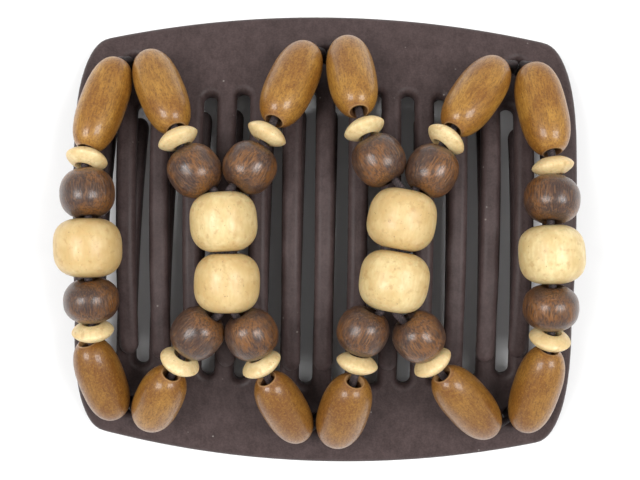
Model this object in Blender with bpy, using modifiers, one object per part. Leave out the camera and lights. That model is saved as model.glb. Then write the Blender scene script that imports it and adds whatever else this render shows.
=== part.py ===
"""Stretch double hair comb: two arched combs, one nested over the other, joined by three elastic loops
that are strung with wooden and bone beads. It lies on its spines, beads up.

Metres, +Z up. +X runs across the teeth and +Y points to the upper comb's spine.
"""

import math
from typing import NamedTuple

import bmesh
import bpy
from mathutils import Euler, Vector

MM = 0.001

# Combs. Lengths along the teeth are measured on the arch, in the middle of the wall.
ARCH_RADIUS = 105.0 * MM
COMB_THICKNESS = 3.4 * MM
COMB_LENGTH = 71.6 * MM
COMB_HALF_WIDTH = 48.1 * MM
SPINE_HEIGHT = 16.6 * MM
SPINE_EDGE_RADIUS = 164.0 * MM
SLOT_END_RADIUS = 185.0 * MM
TIP_LINE_RADIUS = 213.0 * MM
CORNER_WIDTH = 5.5 * MM
CORNER_HEIGHT = 17.8 * MM
CORNER_POWER = 2.48
SLOT_COUNT = 14
ROOT_PITCH = 6.35 * MM
TIP_PITCH = 6.18 * MM
SLOT_WIDTH = 2.55 * MM
TIP_LENGTH = 2.4 * MM
TIP_HALF_WIDTH = 47.0 * MM
TIP_THICKNESS = 1.8 * MM
TAPER_LENGTH = 20.0 * MM
TOP_ROUNDING = 0.9 * MM
STATION_SPACING = 10.0 * MM

# How finely the outlines of the comb are faceted
CORNER_ANGLES = (0, 18, 36, 54, 72, 90)
ROUND_ANGLES = (180, 135, 90, 45, 0)
SPINE_EDGE_STEPS = 8
HOLE_SIDES = 10

# Spine holes: places on the comb from its middle line, and depth below the middle of the spine's edge.
HOLE_RADIUS = 1.75 * MM
HOLE_SPREAD = 37.4 * MM
MIDDLE_HOLE_DEPTH = 9.2 * MM
OUTER_HOLE_DEPTH = 11.4 * MM

# The closed pair. Angles are from the arch's crown to the spine's edge.
CROWN_Y = -4.2 * MM
NEST_STEP = 4.0 * MM
UPPER_EDGE_ANGLE = math.radians(27.88)
LOWER_EDGE_ANGLE = math.radians(22.6)
UPPER_COMB_X = 0.8 * MM
LOWER_COMB_X = 0.95 * MM
UPPER_SKEW = math.radians(-0.6)
LOWER_SKEW = math.radians(-1.6)
FOOT_DEPTH = 0.35 * MM
PAIR_SHIFT = Vector((-0.5 * MM, -0.15 * MM, 0.0))

# Beads and elastic
OVAL_END_LIFT = 4.35 * MM
OVAL_BORE = 2.8 * MM
DISC_SIZE = (7.3 * MM, 3.0 * MM)
DISC_BORE = 3.0 * MM
MOUTH_RIM = 0.35 * MM
DARK_BORE = 3.8 * MM
DARK_HEIGHT = 21.0 * MM
CREAM_HEIGHT = 21.8 * MM
CREAM_BORE = 2.8 * MM
SHARED_CREAM_BORE = 4.2 * MM
ELASTIC_RADIUS = 0.55 * MM
STRAND_OFFSET = 0.76 * MM
STRAND_SPREAD = 1.25 * MM
HOOK_REACH = 0.95 * MM
MOUTH_CLEARANCE = 0.15 * MM
KNOT_RADIUS = 2.3 * MM
KNOT_HALF_HEIGHT = 0.9 * MM
KNOT_DROP = 1.2 * MM
KNOT_PINCH = 0.6


class BeadShape(NamedTuple):
    """A drilled bead: the power of its superellipse profile, points down its outer side, and sides."""

    power: float
    points: int
    sides: int


OVAL = BeadShape(power=2.45, points=6, sides=10)
DISC = BeadShape(power=1.55, points=3, sides=10)
DARK = BeadShape(power=2.3, points=6, sides=10)
CREAM = BeadShape(power=2.75, points=6, sides=12)


class Half(NamedTuple):
    """Half a string: its beads from a spine hole to the middle, in mm as they lie.

    The disc is turned away from +Y and tipped up on the dark bead's side, in degrees.
    """

    oval_outer: tuple[float, float]
    oval_inner: tuple[float, float, float]
    oval_girth: float
    disc: tuple[float, float, float]
    disc_turn: float
    disc_tip: float
    dark: tuple[float, float]
    dark_girth: float
    dark_length: float


# Half strings from left to right, at the upper comb's spine and then at the lower comb's.
UPPER_HALVES = (
    Half((-38.3, 34.2), (-42.9, 16.5, 19.2), 8.9, (-42.7, 14.8, 19.7), -10, 22, (-42.3, 8.5), 9.8, 8.2),
    Half((-33.1, 35.4), (-26.2, 20.1, 19.9), 9.0, (-25.8, 18.4, 21.4), 25, 5, (-22.8, 12.6), 9.5, 8.9),
    Half((-2.1, 37.1), (-8.5, 21.5, 20.2), 9.5, (-9.7, 19.4, 20.4), -28, 3, (-12.8, 13.2), 9.5, 8.6),
    Half((4.8, 38.1), (7.1, 23.2, 20.8), 9.3, (8.1, 20.3, 20.5), 21, 14, (10.7, 14.5), 9.4, 8.7),
    Half((34.2, 33.8), (24.1, 20.0, 20.1), 9.4, (23.0, 18.4, 20.3), -38, 13, (20.4, 12.6), 9.3, 8.7),
    Half((40.2, 33.2), (42.7, 15.8, 19.4), 9.4, (42.6, 13.5, 19.7), 8, 4, (42.2, 7.4), 10.0, 8.3),
)
LOWER_HALVES = (
    Half((-39.0, -33.6), (-42.8, -18.5, 19.0), 8.8, (-41.5, -16.6, 19.9), -2, 19, (-41.6, -11.0), 9.8, 7.7),
    Half((-33.2, -35.1), (-27.1, -24.3, 20.0), 9.0, (-25.7, -22.3, 19.5), 30, 23, (-22.3, -17.0), 9.3, 8.7),
    Half((-3.5, -37.7), (-9.9, -25.2, 20.0), 8.6, (-10.7, -22.8, 19.4), -27, 18, (-12.5, -17.2), 9.4, 8.5),
    Half((2.5, -38.6), (6.4, -25.6, 20.3), 9.6, (6.8, -22.5, 20.0), 13, 11, (7.8, -16.6), 9.3, 8.2),
    Half((33.0, -36.6), (22.2, -24.4, 19.9), 9.2, (20.6, -22.5, 19.2), -34, 15, (18.0, -17.6), 9.2, 8.4),
    Half((38.9, -36.1), (42.2, -19.9, 19.2), 9.0, (42.1, -18.1, 19.6), 8, 25, (42.0, -12.3), 9.9, 7.9),
)


class Cream(NamedTuple):
    """A bone bead: its place in mm, its turn from +Y in degrees, clockwise from above, and its size."""

    name: str
    place: tuple[float, float]
    turn: float
    girth: float
    length: float


LEFT_CREAM = Cream("cream_left", (-42.0, -1.4), 0, 12.7, 10.7)
LEFT_PAIR = (
    Cream("cream_left_pair_upper", (-17.5, 3.3), -3, 12.5, 10.8),
    Cream("cream_left_pair_lower", (-16.8, -7.8), 0, 12.2, 10.7),
)
RIGHT_PAIR = (
    Cream("cream_right_pair_upper", (14.9, 3.7), 11, 12.8, 10.9),
    Cream("cream_right_pair_lower", (13.4, -7.5), 10, 13.0, 10.9),
)
RIGHT_CREAM = Cream("cream_right", (42.0, -2.6), -2, 12.2, 10.7)

# The creams of each string, and the side of a shared bore that the string runs on.
STRING_CREAMS = (
    ((LEFT_CREAM,), 0),
    (LEFT_PAIR, -1),
    (LEFT_PAIR, 1),
    (RIGHT_PAIR, -1),
    (RIGHT_PAIR, 1),
    ((RIGHT_CREAM,), 0),
)
LOOP_NAMES = ("left", "middle", "right")

MATERIALS = {
    "brown_plastic": ((0.082, 0.062, 0.060), 0.42),
    "amber_wood": ((0.42, 0.19, 0.055), 0.28),
    "dark_wood": ((0.082, 0.036, 0.020), 0.35),
    "pale_bone": ((0.83, 0.66, 0.37), 0.45),
    "elastic_cord": ((0.030, 0.018, 0.020), 0.80),
}


def clear_scene():
    for item in list(bpy.data.objects):
        bpy.data.objects.remove(item, do_unlink=True)


def make_collection(name):
    collection = bpy.data.collections.new(name)
    bpy.context.scene.collection.children.link(collection)
    return collection


def make_materials():
    materials = {}
    for name, (colour, roughness) in MATERIALS.items():
        material = bpy.data.materials.new(name)
        material.use_nodes = True
        shader = material.node_tree.nodes["Principled BSDF"]
        shader.inputs["Base Color"].default_value = (*colour, 1.0)
        shader.inputs["Roughness"].default_value = roughness
        material.diffuse_color = (*colour, 1.0)
        materials[name] = material
    return materials


def add_object(name, data, collection, material=None):
    item = bpy.data.objects.new(name, data)
    collection.objects.link(item)
    if material and not data.materials:
        data.materials.append(material)
    return item


def hide_helper(item):
    item.hide_render = True
    item.display_type = "WIRE"


def mesh_from_curve(item):
    """The curve's evaluated shape as a mesh whose caps are welded on; the curve is removed."""
    bpy.context.view_layer.update()
    graph = bpy.context.evaluated_depsgraph_get()
    mesh = bpy.data.meshes.new_from_object(item.evaluated_get(graph))
    bpy.data.objects.remove(item, do_unlink=True)
    shape = bmesh.new()
    shape.from_mesh(mesh)
    bmesh.ops.remove_doubles(shape, verts=shape.verts, dist=0.001 * MM)
    bmesh.ops.recalc_face_normals(shape, faces=shape.faces)
    shape.to_mesh(mesh)
    shape.free()
    return mesh


# Combs


def spine_edge(x):
    """Height of the spine's bowed outer edge, above the comb's middle."""
    return COMB_LENGTH / 2 - x * x / (2 * SPINE_EDGE_RADIUS)


def corner_outline():
    """The right corner, from the side up to the spine's edge: a quarter of a superellipse."""
    points = []
    for angle in map(math.radians, CORNER_ANGLES):
        x = COMB_HALF_WIDTH - CORNER_WIDTH * (1 - math.cos(angle) ** (2 / CORNER_POWER))
        drop = CORNER_HEIGHT * (1 - math.sin(angle) ** (2 / CORNER_POWER))
        points.append((x, spine_edge(x) - drop))
    return points


def comb_outline():
    """The flat comb as one closed outline, anticlockwise from the right bar's tip."""
    corner = corner_outline()
    points = list(corner)
    straight_x = corner[-1][0]
    for step in range(1, SPINE_EDGE_STEPS):
        x = straight_x * (1 - 2 * step / SPINE_EDGE_STEPS)
        points.append((x, spine_edge(x)))
    points += [(-x, y) for x, y in reversed(corner)]

    round_angles = [math.radians(angle) for angle in ROUND_ANGLES]
    half_slot = SLOT_WIDTH / 2
    tooth_left = -TIP_HALF_WIDTH
    for slot in range(SLOT_COUNT + 1):
        last = slot == SLOT_COUNT
        pitches = slot - (SLOT_COUNT - 1) / 2
        tooth_right = TIP_HALF_WIDTH if last else pitches * TIP_PITCH - half_slot
        middle = (tooth_left + tooth_right) / 2
        half = (tooth_right - tooth_left) / 2
        tip_y = middle * middle / (2 * TIP_LINE_RADIUS) - COMB_LENGTH / 2
        for angle in round_angles:
            points.append((middle + half * math.cos(angle), tip_y + TIP_LENGTH * (1 - math.sin(angle))))
        if last:
            break
        root_x = pitches * ROOT_PITCH
        root_y = COMB_LENGTH / 2 - SPINE_HEIGHT - root_x * root_x / (2 * SLOT_END_RADIUS) - half_slot
        for angle in round_angles:
            points.append((root_x + half_slot * math.cos(angle), root_y + half_slot * math.sin(angle)))
        tooth_left = pitches * TIP_PITCH + half_slot
    return points


def hole_places():
    """The three elastic holes on the flat comb, from left to right."""
    middle_y = COMB_LENGTH / 2 - MIDDLE_HOLE_DEPTH
    outer_y = COMB_LENGTH / 2 - OUTER_HOLE_DEPTH
    return ((-HOLE_SPREAD, outer_y), (0.0, middle_y), (HOLE_SPREAD, outer_y))


def hole_outline(place):
    turns = [2 * math.pi * side / HOLE_SIDES for side in range(HOLE_SIDES)]
    return [(place[0] + HOLE_RADIUS * math.cos(a), place[1] + HOLE_RADIUS * math.sin(a)) for a in turns]


def top_face(y):
    """Height of the flat comb's top face. The teeth thin out towards their tips."""
    from_tip = (y + COMB_LENGTH / 2) / TAPER_LENGTH
    return COMB_THICKNESS / 2 - (COMB_THICKNESS - TIP_THICKNESS) * max(0.0, 1.0 - from_tip)


def bend(point):
    """A point of the flat comb on the arch, whose axis runs through the object's origin."""
    middle_radius = ARCH_RADIUS - COMB_THICKNESS / 2
    angle = point.y / middle_radius
    radius = middle_radius + point.z
    return Vector((point.x, radius * math.sin(angle), radius * math.cos(angle)))


def comb_mesh(collection):
    """The comb cut from sheet, crossed by lines for the arch, then bent."""
    curve = bpy.data.curves.new("comb_outline", "CURVE")
    curve.dimensions = "2D"
    curve.fill_mode = "BOTH"
    curve.extrude = COMB_THICKNESS / 2
    for outline in [comb_outline()] + [hole_outline(place) for place in hole_places()]:
        spline = curve.splines.new("POLY")
        spline.points.add(len(outline) - 1)
        for point, (x, y) in zip(spline.points, outline):
            point.co = (x, y, 0.0, 1.0)
        spline.use_cyclic_u = True
    mesh = mesh_from_curve(add_object("comb_outline", curve, collection))

    shape = bmesh.new()
    shape.from_mesh(mesh)
    bmesh.ops.dissolve_limit(shape, angle_limit=0.01, verts=shape.verts, edges=shape.edges)
    stations = round(COMB_LENGTH / STATION_SPACING)
    for station in range(1, stations):
        y = COMB_LENGTH * (station / stations - 0.5)
        geometry = shape.verts[:] + shape.edges[:] + shape.faces[:]
        bmesh.ops.bisect_plane(shape, geom=geometry, dist=0.001 * MM, plane_co=(0, y, 0), plane_no=(0, 1, 0))
    weights = shape.edges.layers.float.new("bevel_weight_edge")
    for edge in shape.edges:
        on_top = all(vert.co.z > COMB_THICKNESS * 0.49 for vert in edge.verts)
        at_rim = any(abs(face.normal.z) < 0.5 for face in edge.link_faces)
        start = edge.verts[0].co.xy
        in_hole = any((start - Vector(place)).length < HOLE_RADIUS * 1.1 for place in hole_places())
        if on_top and at_rim and not in_hole:
            edge[weights] = 1.0
    for vert in shape.verts:
        if vert.co.z > 0:
            vert.co.z = top_face(vert.co.y)
        vert.co = bend(vert.co)
    shape.to_mesh(mesh)
    shape.free()
    return mesh


def arch_axis(lower):
    """The axis of a comb's arch, placed so that both spines' edges reach just below the floor."""
    inner_radius = ARCH_RADIUS - COMB_THICKNESS
    height = -inner_radius * math.cos(LOWER_EDGE_ANGLE) - FOOT_DEPTH
    if lower:
        return Vector((LOWER_COMB_X, CROWN_Y, height))
    return Vector((UPPER_COMB_X, CROWN_Y, height + NEST_STEP))


def comb_turn(lower):
    """The lower comb faces the other way. Each slides round its arch to its spine's angle."""
    half_span = COMB_LENGTH / 2 / (ARCH_RADIUS - COMB_THICKNESS / 2)
    if lower:
        return Euler((half_span - LOWER_EDGE_ANGLE, 0.0, math.pi + LOWER_SKEW))
    return Euler((half_span - UPPER_EDGE_ANGLE, 0.0, UPPER_SKEW))


def make_combs(parts, cutters, root, material):
    floor_cut = bpy.data.meshes.new("below_floor")
    shape = bmesh.new()
    bmesh.ops.create_cube(shape, size=1.0)
    depth = 5 * MM
    bmesh.ops.scale(shape, vec=(4 * COMB_HALF_WIDTH, 4 * COMB_LENGTH, depth), verts=shape.verts)
    bmesh.ops.translate(shape, vec=(0, 0, -depth / 2), verts=shape.verts)
    shape.to_mesh(floor_cut)
    shape.free()
    cutter = add_object("below_floor", floor_cut, cutters)
    hide_helper(cutter)

    mesh = comb_mesh(cutters)
    for name, lower in (("comb_upper", False), ("comb_lower", True)):
        comb = add_object(name, mesh, parts, material)
        comb.location = arch_axis(lower)
        comb.rotation_euler = comb_turn(lower)
        comb.parent = root
        rounding = comb.modifiers.new("rounded_top", "BEVEL")
        rounding.limit_method = "WEIGHT"
        rounding.width = TOP_ROUNDING
        rounding.segments = 1
        rounding.use_clamp_overlap = False
        foot = comb.modifiers.new("flat_foot", "BOOLEAN")
        foot.object = cutter
        foot.operation = "DIFFERENCE"


def hole_frame(hole, lower):
    """The point on the comb's top face over a hole, and the way out of the face."""
    x, y = hole_places()[2 - hole if lower else hole]
    turn = comb_turn(lower).to_matrix()
    top = turn @ bend(Vector((x, y, COMB_THICKNESS / 2)))
    outward = turn @ bend(Vector((x, y, COMB_THICKNESS / 2 + MM))) - top
    return arch_axis(lower) + top, outward.normalized()


def top_height(y, lower):
    """Height of a comb's top face at y."""
    axis = arch_axis(lower)
    return axis.z + math.sqrt(ARCH_RADIUS**2 - (y - axis.y) ** 2)


# Beads


def bead_mesh(name, shape, girth, length, bore, material):
    """A closed profile beside the axis, for a Screw: down the superellipse side and back up the bore.

    The length is measured over the mouths.
    """
    radius = girth / 2
    steepest = math.acos(((bore / 2 + MOUTH_RIM) / radius) ** (shape.power / 2))
    half = length / 2 / math.sin(steepest) ** (2 / shape.power)
    points = []
    for step in range(shape.points):
        angle = steepest * (1 - 2 * step / (shape.points - 1))
        across = radius * math.cos(angle) ** (2 / shape.power)
        along = half * math.copysign(abs(math.sin(angle)) ** (2 / shape.power), angle)
        points.append((across, 0.0, along))
    end = points[0][2]
    points += [(bore / 2, 0.0, -end), (bore / 2, 0.0, end)]
    mesh = bpy.data.meshes.new(name)
    edges = [(index, (index + 1) % len(points)) for index in range(len(points))]
    mesh.from_pydata(points, edges, [])
    mesh.materials.append(material)
    return mesh


def add_bead(name, shape, centre, axis, size, bore, parts, root, material):
    girth, length = size
    bead = add_object(name, bead_mesh(name, shape, girth, length, bore, material), parts)
    bead.location = centre
    bead.rotation_euler = axis.to_track_quat("Z", "Y").to_euler()
    bead.parent = root
    turning = bead.modifiers.new("turned", "SCREW")
    turning.axis = "Z"
    turning.steps = shape.sides
    turning.render_steps = shape.sides
    turning.use_merge_vertices = True
    turning.merge_threshold = 0.01 * MM
    turning.use_smooth_shade = True
    return bead


def raised(place, height):
    return Vector((place[0] * MM, place[1] * MM, height))


def half_string_places(row, lower):
    """Ends of the oval, and centres of the disc and the dark bead."""
    outer = raised(row.oval_outer, top_height(row.oval_outer[1] * MM, lower) + OVAL_END_LIFT)
    return outer, Vector(row.oval_inner) * MM, Vector(row.disc) * MM, raised(row.dark, DARK_HEIGHT)


def make_half_string(row, number, lower, cream_mouth, parts, root, materials):
    """The oval, disc and dark bead of one half string.

    Returns the oval's two ends, and the corners of the strand after it.
    """
    outer, inner, disc, dark = half_string_places(row, lower)
    oval_axis = (inner - outer).normalized()
    turn, tip = math.radians(row.disc_turn), math.radians(row.disc_tip)
    inwards = 1 if lower else -1
    disc_axis = Vector((math.sin(turn), inwards * math.cos(turn), math.tan(tip))).normalized()
    disc_end = disc + disc_axis * DISC_SIZE[1] / 2
    dark_axis = ((dark - disc_end).normalized() + (cream_mouth - dark).normalized()).normalized()

    suffix = f"{number}_{'lower' if lower else 'upper'}"
    oval_size = (row.oval_girth * MM, (inner - outer).length)
    dark_size = (row.dark_girth * MM, row.dark_length * MM)
    amber, bone, brown = (materials[name] for name in ("amber_wood", "pale_bone", "dark_wood"))
    add_bead(f"oval_{suffix}", OVAL, (outer + inner) / 2, oval_axis, oval_size, OVAL_BORE, parts, root, amber)
    add_bead(f"disc_{suffix}", DISC, disc, disc_axis, DISC_SIZE, DISC_BORE, parts, root, bone)
    add_bead(f"dark_{suffix}", DARK, dark, dark_axis, dark_size, DARK_BORE, parts, root, brown)

    before_disc = (inner + disc - disc_axis * DISC_SIZE[1] / 2) / 2
    after_disc = disc_end + disc_axis * MOUTH_CLEARANCE
    dark_reach = dark_axis * (dark_size[1] / 2 + MOUTH_CLEARANCE)
    return (outer, inner), [before_disc, after_disc, dark - dark_reach, dark]


def cream_axis(cream):
    turn = math.radians(cream.turn)
    return Vector((math.sin(turn), math.cos(turn), 0.0))


def make_creams(parts, root, material):
    for cream in (LEFT_CREAM, *LEFT_PAIR, *RIGHT_PAIR, RIGHT_CREAM):
        centre = raised(cream.place, CREAM_HEIGHT)
        size = (cream.girth * MM, cream.length * MM)
        bore = SHARED_CREAM_BORE if "pair" in cream.name else CREAM_BORE
        add_bead(cream.name, CREAM, centre, cream_axis(cream), size, bore, parts, root, material)


def cream_point(cream, end, side, offset):
    """A point just outside a cream's bore: at its upper end for 1 or its lower for -1."""
    axis = cream_axis(cream)
    across = Vector((axis.y, -axis.x, 0.0))
    reach = cream.length * MM / 2 + MOUTH_CLEARANCE
    return raised(cream.place, CREAM_HEIGHT) + axis * reach * end + across * offset * side


def cream_corners(creams, side):
    """The strand's corners before, between and after its creams."""
    corners = [cream_point(creams[0], 1, side, STRAND_SPREAD)]
    for upper, lower in zip(creams, creams[1:]):
        before = cream_point(upper, -1, side, STRAND_OFFSET)
        corners.append((before + cream_point(lower, 1, side, STRAND_OFFSET)) / 2)
    corners.append(cream_point(creams[-1], -1, side, STRAND_SPREAD))
    return corners


# Elastic


def hole_route(hole, lower, side, bore):
    """From the knot under the spine, up through the hole and over into the first bead's bore."""
    top, outward = hole_frame(hole, lower)
    beside = Vector((STRAND_OFFSET * side, 0.0, 0.0))
    knot = top + beside * KNOT_PINCH - outward * (COMB_THICKNESS + KNOT_DROP)
    under = top + beside - outward * COMB_THICKNESS
    crest = top + beside + outward * HOOK_REACH
    mouth = bore[0] + (bore[0] - bore[1]).normalized() * HOOK_REACH
    away = Vector((0.0, -HOOK_REACH if lower else HOOK_REACH, 0.0))
    return [knot, under, crest, (crest + mouth) / 2 + away, mouth]


def strand_mesh(name, route, collection):
    curve = bpy.data.curves.new(name, "CURVE")
    curve.dimensions = "3D"
    curve.bevel_depth = ELASTIC_RADIUS
    curve.bevel_resolution = 1
    curve.use_fill_caps = True
    spline = curve.splines.new("POLY")
    spline.points.add(len(route) - 1)
    for point, place in zip(spline.points, route):
        point.co = (*place, 1.0)
    return mesh_from_curve(add_object(name, curve, collection))


def knot_mesh(name, hole, lower):
    """A flattened ball, wider than the hole that it stops."""
    top, outward = hole_frame(hole, lower)
    shape = bmesh.new()
    bmesh.ops.create_uvsphere(shape, u_segments=8, v_segments=5, radius=1.0)
    bmesh.ops.scale(shape, vec=(KNOT_RADIUS, KNOT_RADIUS, KNOT_HALF_HEIGHT), verts=shape.verts)
    turn = outward.to_track_quat("Z", "Y").to_matrix()
    bmesh.ops.transform(shape, matrix=turn.to_4x4(), verts=shape.verts)
    centre = top - outward * (COMB_THICKNESS + KNOT_DROP)
    bmesh.ops.translate(shape, vec=centre, verts=shape.verts)
    mesh = bpy.data.meshes.new(name)
    shape.to_mesh(mesh)
    shape.free()
    return mesh


def make_elastic(routes, parts, cutters, root, material):
    """Each loop is two strands tied together in a knot under each of its holes."""
    for loop, label in enumerate(LOOP_NAMES):
        name = f"elastic_{label}"
        first, second = (strand_mesh(f"{name}_strand", routes[2 * loop + side], cutters) for side in (0, 1))
        elastic = add_object(name, first, parts, material)
        elastic.parent = root
        pieces = [second]
        pieces += [knot_mesh(f"{name}_knot", loop, lower) for lower in (False, True)]
        for index in (1, 2, 0):
            helper = add_object(f"{name}_joined_{index}", pieces[index], cutters)
            helper.parent = root
            hide_helper(helper)
            joining = elastic.modifiers.new("tied", "BOOLEAN")
            joining.operation = "UNION"
            joining.object = helper


def main():
    clear_scene()
    parts = make_collection("beaded_hair_comb")
    cutters = make_collection("cutters")
    materials = make_materials()
    root = bpy.data.objects.new("closed_pair", None)
    root.location = PAIR_SHIFT
    bpy.context.scene.collection.objects.link(root)

    make_combs(parts, cutters, root, materials["brown_plastic"])
    make_creams(parts, root, materials["pale_bone"])
    routes = []
    for index, (creams, side) in enumerate(STRING_CREAMS):
        number = index + 1
        upper, lower = UPPER_HALVES[index], LOWER_HALVES[index]
        middle = cream_corners(creams, side)
        first, down = make_half_string(upper, number, False, middle[0], parts, root, materials)
        last, up = make_half_string(lower, number, True, middle[-1], parts, root, materials)
        hole_side = 1 if index % 2 else -1
        start = hole_route(index // 2, False, hole_side, first)
        finish = hole_route(index // 2, True, hole_side, last)
        routes.append(start + down + middle + up[::-1] + finish[::-1])
    make_elastic(routes, parts, cutters, root, materials["elastic_cord"])


main()
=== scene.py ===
import math

import bmesh
import bpy
import numpy as np
from mathutils import Euler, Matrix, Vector


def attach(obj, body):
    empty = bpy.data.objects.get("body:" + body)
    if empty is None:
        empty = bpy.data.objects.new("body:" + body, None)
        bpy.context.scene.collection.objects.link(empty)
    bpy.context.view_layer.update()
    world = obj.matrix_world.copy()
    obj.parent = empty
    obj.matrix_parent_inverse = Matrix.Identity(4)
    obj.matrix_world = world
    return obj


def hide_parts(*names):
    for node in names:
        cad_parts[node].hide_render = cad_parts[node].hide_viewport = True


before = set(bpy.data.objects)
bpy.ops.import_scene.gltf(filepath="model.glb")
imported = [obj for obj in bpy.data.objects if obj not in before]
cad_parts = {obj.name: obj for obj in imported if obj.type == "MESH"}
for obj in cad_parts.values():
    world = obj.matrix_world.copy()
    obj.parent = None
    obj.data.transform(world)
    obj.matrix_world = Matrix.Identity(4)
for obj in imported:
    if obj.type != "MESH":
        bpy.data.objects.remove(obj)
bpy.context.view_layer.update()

# Camera
# The pair of combs lies flat on a table and is looked at from straight above, close enough that
# the upper comb looks a little larger than the lower one.
MM = 0.001
PAIR_SHIFT = Vector((-0.5, -0.15, 0.0)) * MM
CAMERA_HEIGHT = 215 * MM

lens = bpy.data.cameras.new("overhead_camera")
lens.lens = 60.0
lens.sensor_width = 36.0
lens.clip_start = 0.01
camera = bpy.data.objects.new("overhead_camera", lens)
camera.location = PAIR_SHIFT + Vector((0.0, 0.0, CAMERA_HEIGHT))
bpy.context.scene.collection.objects.link(camera)
bpy.context.scene.camera = camera
bpy.context.scene.view_settings.view_transform = "Standard"

# Table top and studio light
# A large sheet of matt white paper. A softbox hangs on each side, 31 degrees off the vertical, and
# white cards stand behind and before the table. The rest of the studio is a dim white.
TABLE_REACH = 1.6
TABLE_CORNERS = ((-1, -1), (1, -1), (1, 1), (-1, 1))
SOFTBOX_DISTANCE = 0.60
SOFTBOX_ANGLE = math.radians(31)
SOFTBOX_SIZE = (0.24, 0.30)
SOFTBOX_WATTS = 2.55


def add_step(tree, kind, inputs=None, **settings):
    """One node of a tree, with its settings, and its inputs linked where a socket is given."""
    step = tree.nodes.new(kind)
    for name, value in settings.items():
        setattr(step, name, value)
    for name, value in (inputs or {}).items():
        if isinstance(value, bpy.types.NodeSocket):
            tree.links.new(value, step.inputs[name])
        else:
            step.inputs[name].default_value = value
    return step


def new_material(name):
    """A material with an empty tree, and the tree."""
    material = bpy.data.materials.new(name)
    material.use_nodes = True
    tree = material.node_tree
    tree.nodes.clear()
    return material, tree


def bumped(tree, height, strength, distance):
    """Normals that follow a height."""
    inputs = {"Height": height, "Strength": strength, "Distance": distance}
    return add_step(tree, "ShaderNodeBump", inputs).outputs["Normal"]


def finish_material(tree, inputs):
    """Puts a Principled shader with these inputs on the material's output."""
    shader = add_step(tree, "ShaderNodeBsdfPrincipled", inputs)
    add_step(tree, "ShaderNodeOutputMaterial", {"Surface": shader.outputs[0]})


def add_object(name, data):
    piece = bpy.data.objects.new(name, data)
    bpy.context.scene.collection.objects.link(piece)
    return piece


paper, paper_tree = new_material("matt_paper")
paper_place = add_step(paper_tree, "ShaderNodeTexCoord").outputs["Object"]
paper_fibres = add_step(
    paper_tree,
    "ShaderNodeTexNoise",
    {"Vector": paper_place, "Scale": 900.0, "Detail": 4.0},
)
finish_material(
    paper_tree,
    {
        "Base Color": (0.93, 0.93, 0.93, 1.0),
        "Roughness": 0.9,
        "Normal": bumped(paper_tree, paper_fibres.outputs[0], 0.1, 0.02 * MM),
    },
)
table_mesh = bpy.data.meshes.new("table_top")
table_corners = [(x * TABLE_REACH, y * TABLE_REACH, 0) for x, y in TABLE_CORNERS]
table_mesh.from_pydata(table_corners, [], [(0, 1, 2, 3)])
table_mesh.materials.append(paper)
add_object("table_top", table_mesh)

for side_name, side in (("left", -1), ("right", 1)):
    softbox_light = bpy.data.lights.new(f"softbox_{side_name}", "AREA")
    softbox_light.shape = "RECTANGLE"
    softbox_light.size, softbox_light.size_y = SOFTBOX_SIZE
    softbox_light.energy = SOFTBOX_WATTS
    softbox = add_object(f"softbox_{side_name}", softbox_light)
    aim = Vector((math.sin(SOFTBOX_ANGLE) * side, 0.0, math.cos(SOFTBOX_ANGLE))).normalized()
    softbox.location = aim * SOFTBOX_DISTANCE
    softbox.rotation_euler = aim.to_track_quat("Z", "Y").to_euler()

studio = bpy.data.worlds.new("white_cards")
studio.use_nodes = True
studio_tree = studio.node_tree
studio_tree.nodes.clear()
sky_place = add_step(studio_tree, "ShaderNodeTexCoord")
sky_parts = add_step(studio_tree, "ShaderNodeSeparateXYZ", {"Vector": sky_place.outputs["Generated"]})
card_side = add_step(studio_tree, "ShaderNodeMath", {0: sky_parts.outputs["Y"]}, operation="ABSOLUTE")
card_share = add_step(
    studio_tree,
    "ShaderNodeMapRange",
    {"Value": card_side.outputs[0], "From Min": 0.40, "From Max": 0.80, "To Min": 0.38, "To Max": 0.72},
    interpolation_type="SMOOTHSTEP",
)
sky = add_step(
    studio_tree,
    "ShaderNodeBackground",
    {"Color": (1.0, 1.0, 1.0, 1.0), "Strength": card_share.outputs[0]},
)
add_step(studio_tree, "ShaderNodeOutputWorld", {"Surface": sky.outputs[0]})
bpy.context.scene.world = studio

# Combs
# Two identical combs moulded in dark brown plastic, with round satin teeth between two broader side
# bars. They are bent to the curve of the head and nested, the upper over the lower, with their
# teeth the opposite way. Each lies turned a little on the table.
ARCH_RADIUS = 105.0 * MM
COMB_THICKNESS = 3.4 * MM
COMB_LENGTH = 71.6 * MM
COMB_HALF_WIDTH = 48.1 * MM
SPINE_HEIGHT = 16.6 * MM
SPINE_EDGE_RADIUS = 164.0 * MM
SLOT_END_RADIUS = 185.0 * MM
TIP_LINE_RADIUS = 213.0 * MM
CORNER_WIDTH = 5.5 * MM
CORNER_HEIGHT = 17.8 * MM
CORNER_POWER = 2.48
SLOT_COUNT = 14
ROOT_PITCH = 6.35 * MM
TIP_PITCH = 6.18 * MM
SLOT_WIDTH = 2.55 * MM
TIP_LENGTH = 2.2 * MM
TIP_HALF_WIDTH = 47.0 * MM
TIP_THICKNESS = 1.8 * MM
TAPER_LENGTH = 20.0 * MM
EDGE_ROUNDING = 1.38 * MM
BEND_STEP = 1.6 * MM
HOLE_RADIUS = 1.75 * MM
HOLE_PLACES = ((-37.4 * MM, 24.4 * MM), (0.0, 26.6 * MM), (37.4 * MM, 24.4 * MM))
CROWN_Y = -4.2 * MM
NEST_STEP = 4.0 * MM
UPPER_EDGE_ANGLE = math.radians(27.88)
LOWER_EDGE_ANGLE = math.radians(22.6)
UPPER_COMB_X = 0.8 * MM
LOWER_COMB_X = 0.95 * MM
UPPER_SKEW = math.radians(-0.6)
LOWER_SKEW = math.radians(-1.6)
FOOT_DEPTH = 0.35 * MM
CORNER_STEPS = 12
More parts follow.
